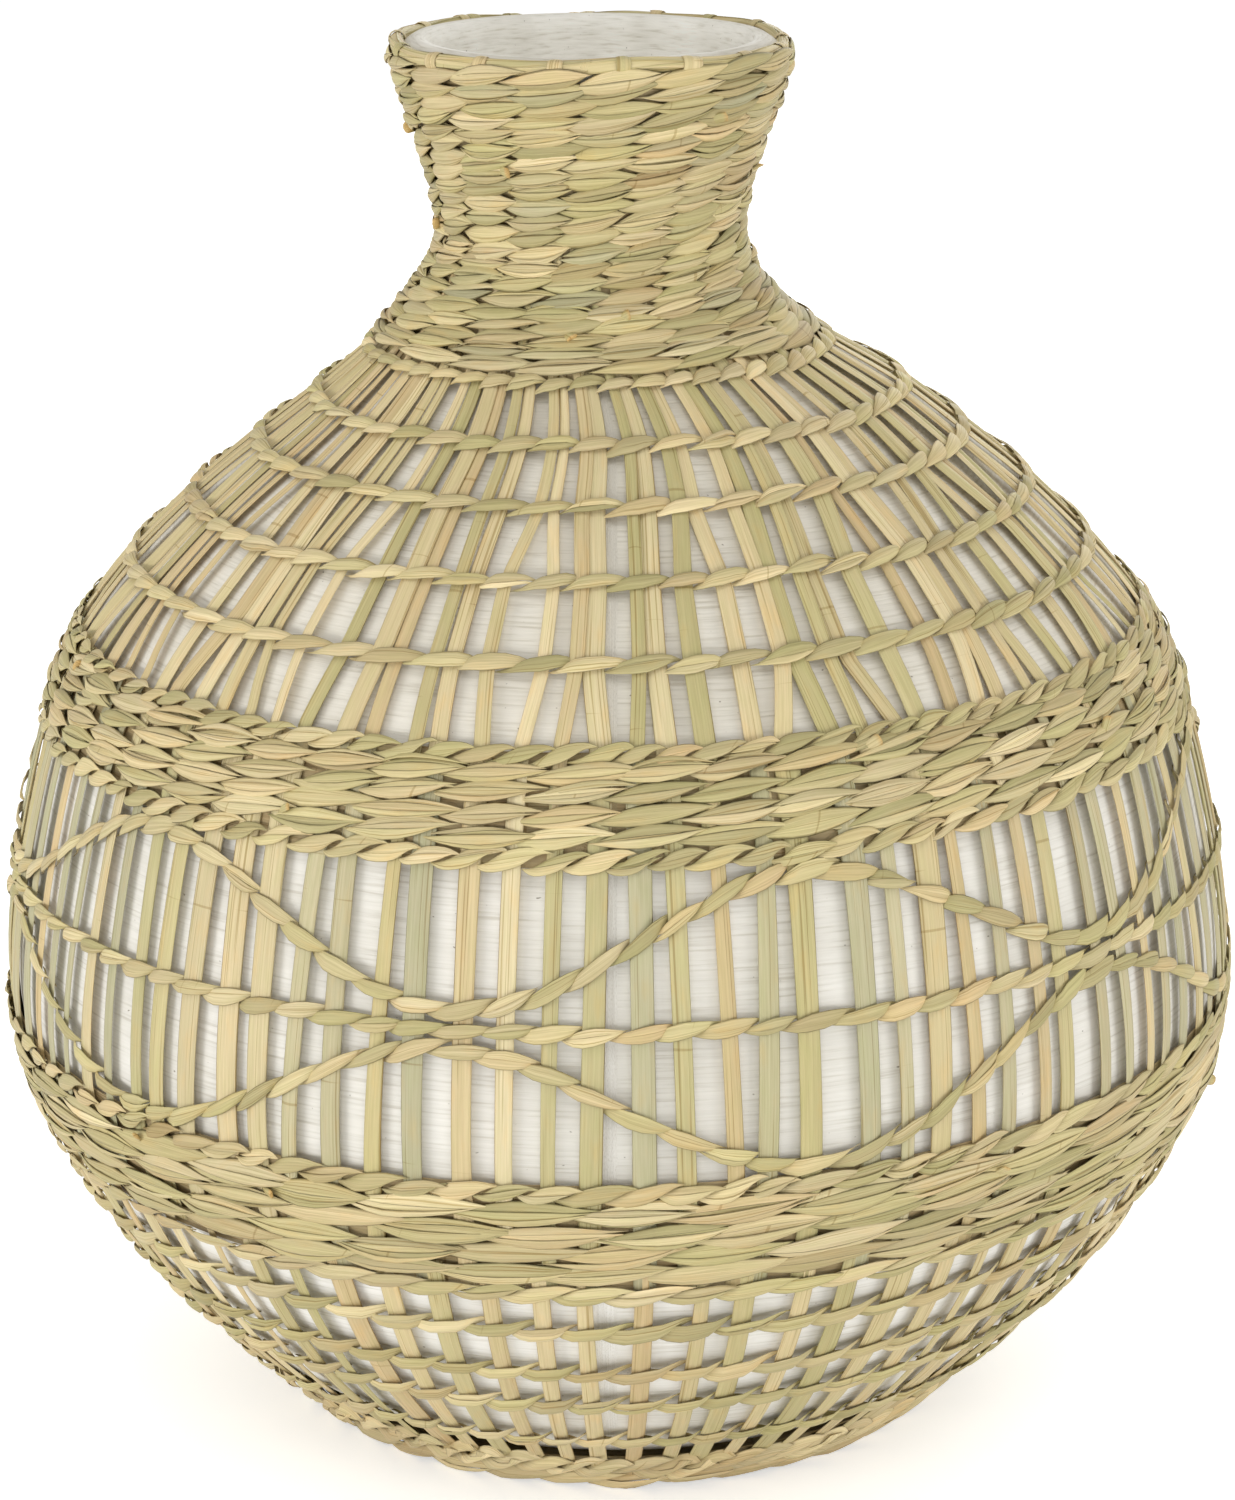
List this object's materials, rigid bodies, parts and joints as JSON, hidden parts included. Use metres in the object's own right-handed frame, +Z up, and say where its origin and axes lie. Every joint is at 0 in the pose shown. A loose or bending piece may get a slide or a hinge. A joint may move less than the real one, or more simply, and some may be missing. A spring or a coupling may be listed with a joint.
{
  "type": "seagrass vase",
  "caption": "Round-bellied vase with a narrow flared neck: a hollow whitewashed clay vessel in a fixed openwork jacket of twined seagrass blades, standing on a flat woven base.",
  "frame": {"origin": "centre of the flat underside of the woven base, under the belly's axis", "axes": "+Z up towards the mouth, -Y the front of the picture, +X the picture's right"},
  "size_m": [0.323, 0.323, 0.3559],
  "materials": {
    "whitewashed_clay": "matt whitewash over fired clay, with fine level brush lines",
    "seagrass_blade": "dry split seagrass blade, satin, straw to pale green",
    "seagrass_row": "twined pair of dry seagrass blades, satin",
    "seagrass_band": "close twined dry seagrass blades, satin",
    "seagrass_base": "close twined dry seagrass blades, satin",
    "seagrass_rim": "bundled and lashed dry seagrass blades, satin"
  },
  "bodies": {
    "root": {"vessel": "whitewashed_clay", "base_disc": "seagrass_base", "base_edge_row_01": "seagrass_base", "base_edge_row_02": "seagrass_base", "blade_group_01": "seagrass_blade", "blade_group_02": "seagrass_blade", "blade_group_03": "seagrass_blade", "blade_group_04": "seagrass_blade", "blade_group_05": "seagrass_blade", "blade_group_06": "seagrass_blade", "blade_group_07": "seagrass_blade", "blade_group_08": "seagrass_blade", "blade_group_09": "seagrass_blade", "blade_group_10": "seagrass_blade", "blade_group_11": "seagrass_blade", "blade_group_12": "seagrass_blade", "blade_group_13": "seagrass_blade", "blade_group_14": "seagrass_blade", "blade_group_15": "seagrass_blade", "blade_group_16": "seagrass_blade", "blade_group_17": "seagrass_blade", "blade_group_18": "seagrass_blade", "blade_group_19": "seagrass_blade", "blade_group_20": "seagrass_blade", "blade_group_21": "seagrass_blade", "blade_group_22": "seagrass_blade", "blade_group_23": "seagrass_blade", "blade_group_24": "seagrass_blade", "foot_row_01": "seagrass_row", "foot_row_02": "seagrass_row", "foot_row_03": "seagrass_row", "foot_row_04": "seagrass_row", "lower_band": "seagrass_band", "lower_wave": "seagrass_row", "middle_row": "seagrass_row", "upper_wave": "seagrass_row", "shoulder_band": "seagrass_band", "shoulder_row_01": "seagrass_row", "shoulder_row_02": "seagrass_row", "shoulder_row_03": "seagrass_row", "shoulder_row_04": "seagrass_row", "collar_row": "seagrass_row", "neck_band": "seagrass_band", "rim_hoop": "seagrass_rim", "rim_lashing": "seagrass_rim"}
  },
  "joints": []
}
